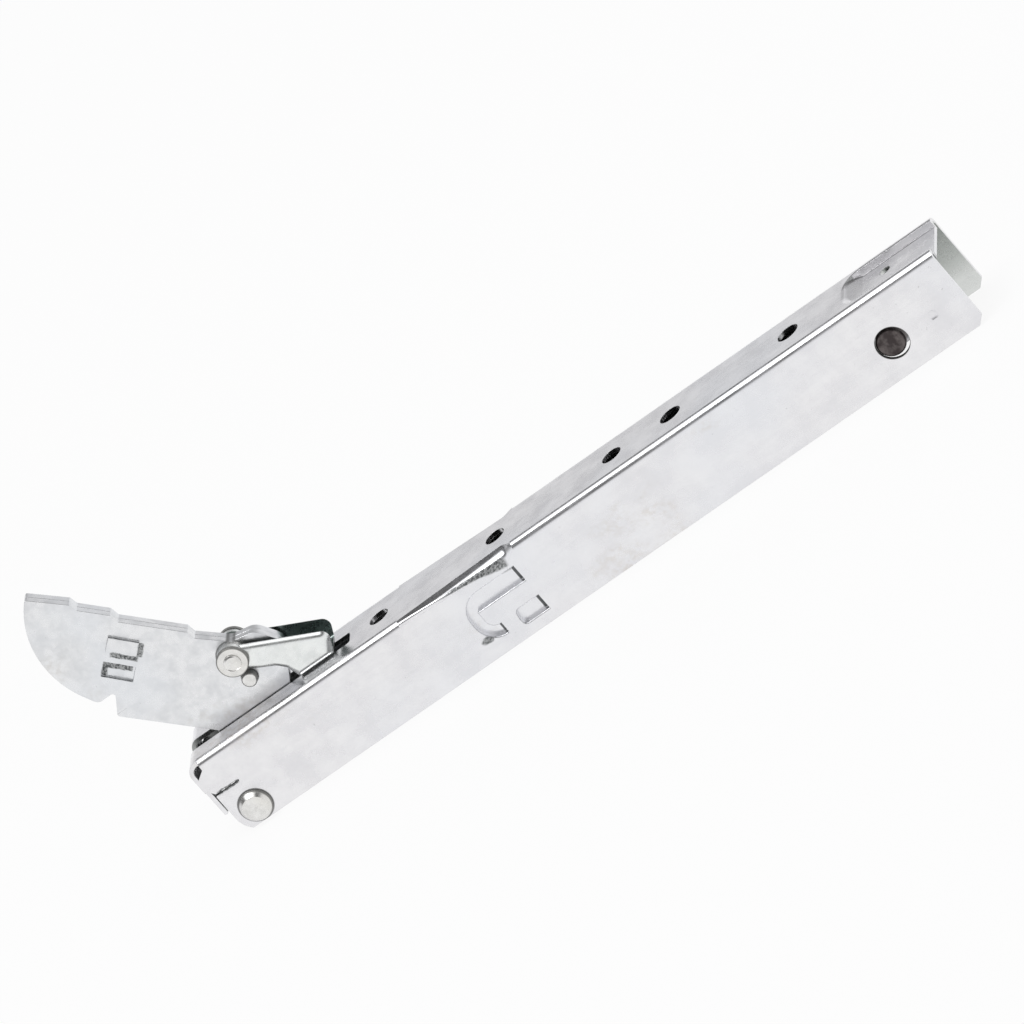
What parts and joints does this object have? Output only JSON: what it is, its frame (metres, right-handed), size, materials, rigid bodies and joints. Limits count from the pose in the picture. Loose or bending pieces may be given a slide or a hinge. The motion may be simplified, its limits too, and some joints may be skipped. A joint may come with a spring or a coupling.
{
  "type": "oven door hinge",
  "caption": "Spring-loaded oven door hinge: folded steel channel for the door, hooked swing arm for the cabinet and a stirrup latch that locks the arm.",
  "frame": {"origin": "centre of the middle one of the three smaller door screw holes, on the web's outer face", "axes": "+X along the channel from the arm to the far end, +Z out of the web, Y across the channel"},
  "size_m": [0.2688, 0.0284, 0.0881],
  "materials": {
    "zinc_channel": "clear zinc plate",
    "zinc_arm": "zinc plate, faint blue-green",
    "zinc_latch": "zinc plate",
    "zinc_link": "zinc plate",
    "zinc_rivet": "bright zinc",
    "dark_pin": "dark phosphate",
    "spring_wire": "drawn wire"
  },
  "bodies": {
    "channel": {"channel": "zinc_channel", "pivot_pin": "zinc_rivet", "pivot_spacer_near": "zinc_rivet", "pivot_spacer_far": "zinc_rivet", "anchor_pin": "dark_pin", "tension_spring": "spring_wire"},
    "arm": {"arm_plate_near": "zinc_arm", "arm_plate_far": "zinc_arm", "lever_pin": "zinc_rivet", "latch_pin": "zinc_rivet", "latch_washer": "zinc_rivet", "latch_spacer_near": "zinc_rivet", "latch_spacer_far": "zinc_rivet", "stop_pin": "zinc_rivet"},
    "latch": {"latch": "zinc_latch"},
    "link": {"link_strap_near": "zinc_link", "link_strap_far": "zinc_link"},
    "slider": {"hook_pin": "zinc_rivet", "guide_sleeve_near": "dark_pin", "guide_sleeve_far": "dark_pin"}
  },
  "joints": [
    {"name": "arm_swing", "type": "hinge", "parent": "channel", "child": "arm", "pos_m": [-0.098, 0, -0.0199], "axis": [0, -1, 0], "range_deg": [0, 47], "stiffness_Nm_per_rad": 1.1, "springref_deg": -28.65},
    {"name": "latch_flip", "type": "hinge", "parent": "arm", "child": "latch", "pos_m": [-0.0778, 0, 0.0157], "axis": [0, -1, 0], "range_deg": [0, 150]},
    {"name": "link_turn", "type": "hinge", "parent": "arm", "child": "link", "pos_m": [-0.09401, 0, -0.01073], "axis": [0, -1, 0], "range_deg": [-47.1, 0]},
    {"name": "slider_run", "type": "slide", "parent": "channel", "child": "slider", "axis": [-1, 0, 0], "range_m": [0, 0.00799], "deforming": ["tension_spring"]}
  ],
  "couplings": [
    {"joint": "link_turn", "follows": "arm_swing", "ratio": -1},
    {"joint": "slider_run", "follows": "arm_swing", "m_per_rad": 0.009722}
  ]
}
